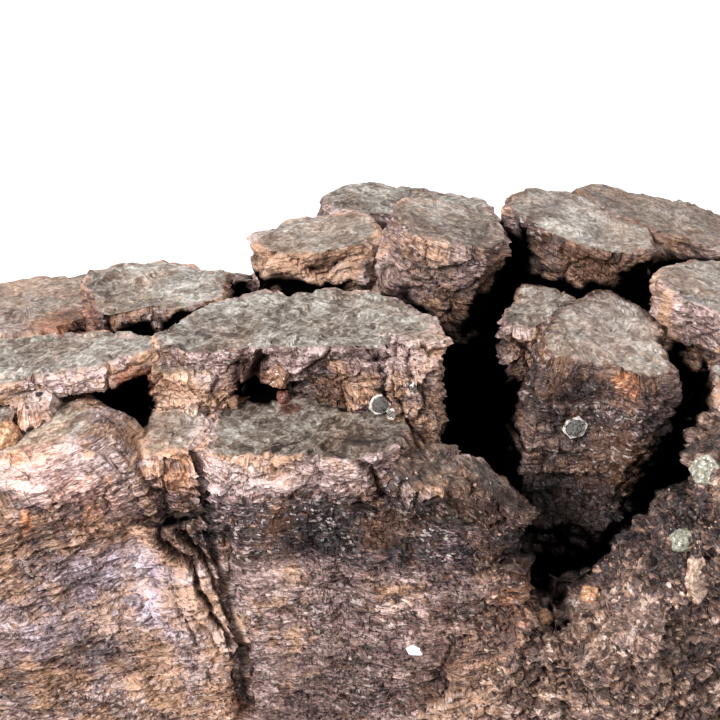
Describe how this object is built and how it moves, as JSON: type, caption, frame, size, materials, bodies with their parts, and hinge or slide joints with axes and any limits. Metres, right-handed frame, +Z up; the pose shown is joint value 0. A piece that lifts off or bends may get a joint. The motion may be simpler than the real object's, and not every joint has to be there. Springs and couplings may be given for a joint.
{
  "type": "phlogopite mica crystal cluster",
  "caption": "Hand-sized cluster of layered phlogopite books grown together, standing on the flat break underneath.",
  "frame": {"origin": "middle of the footprint, on the flat break that the specimen rests on", "axes": "+X along the specimen, to the right seen from its show face; +Y towards its back; +Z up"},
  "size_m": [0.1222, 0.062, 0.0573],
  "materials": {
    "books": "layered grey-green and tan brown mica, satin on the flat faces, dark in the cracks",
    "clear_mica": "clear mica flake with a bright rim",
    "brown_crystal": "brown translucent crystal",
    "tan_crystal": "tan translucent crystal",
    "green_crystal": "greenish translucent crystal",
    "red_crystal": "red-brown grain",
    "amber_crystal": "orange-brown grain"
  },
  "bodies": {
    "root": {"mica_book_cluster": "books", "clear_flake": "clear_mica", "clear_chip": "clear_mica", "standing_flake": "clear_mica", "hexagonal_flake": "clear_mica", "pale_flake": "clear_mica", "pocket_crystal": "brown_crystal", "tan_crystal": "tan_crystal", "blade_crystal": "tan_crystal", "green_crystal": "green_crystal", "green_grain": "green_crystal", "red_grain": "red_crystal", "orange_grain": "amber_crystal", "amber_grain": "amber_crystal", "pink_grain": "amber_crystal"}
  },
  "joints": []
}
